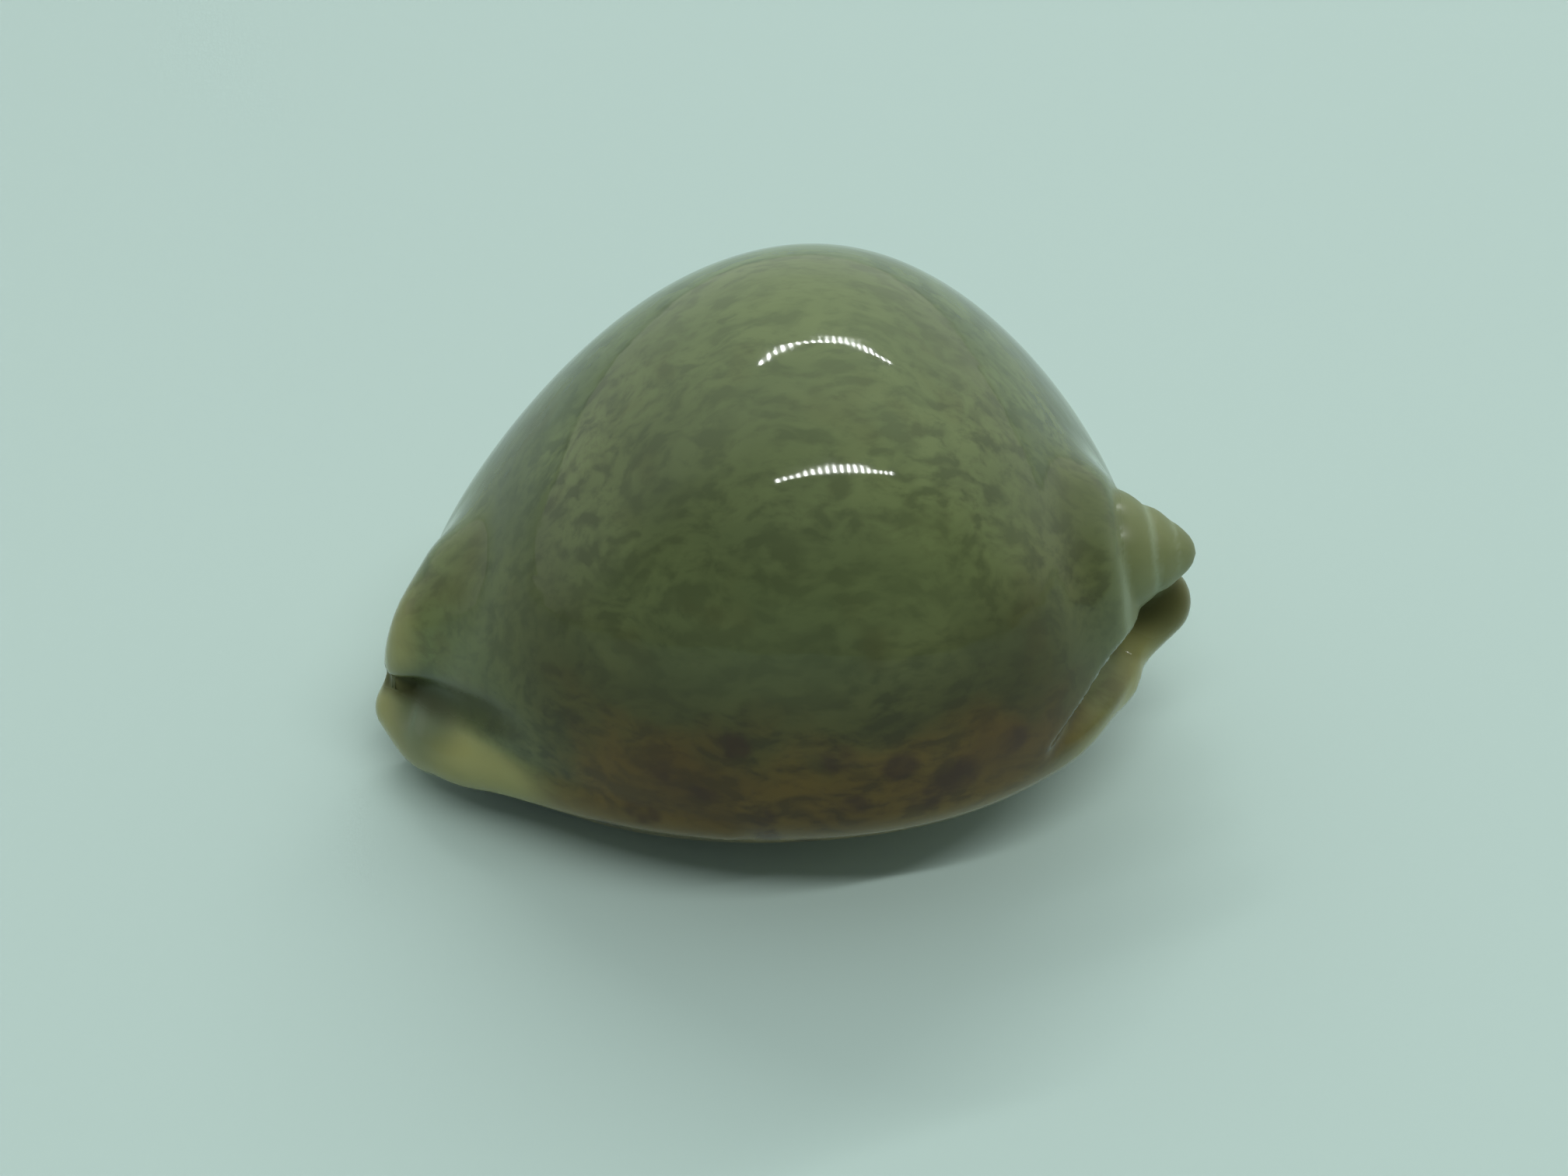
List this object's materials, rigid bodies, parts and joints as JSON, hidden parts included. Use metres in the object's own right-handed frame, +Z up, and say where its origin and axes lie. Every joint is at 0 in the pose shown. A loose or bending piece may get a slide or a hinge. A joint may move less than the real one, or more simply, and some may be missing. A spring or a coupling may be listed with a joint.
{
  "type": "humped cowrie shell",
  "caption": "Glossy humped cowrie shell, olive grey above and fawn below, with a toothed slit along its base, lobed ends and a small blunt spire.",
  "frame": {"origin": "middle of the underside of the shell's bounding box, level with the small flat foot it rests on", "axes": "+X from the front end to the spire, +Y towards the outer lip's side, +Z up as the shell rests"},
  "size_m": [0.0706, 0.0526, 0.0437],
  "materials": {
    "shell": "high gloss shell enamel"
  },
  "bodies": {
    "root": {"cowrie_shell": "shell"}
  },
  "joints": []
}
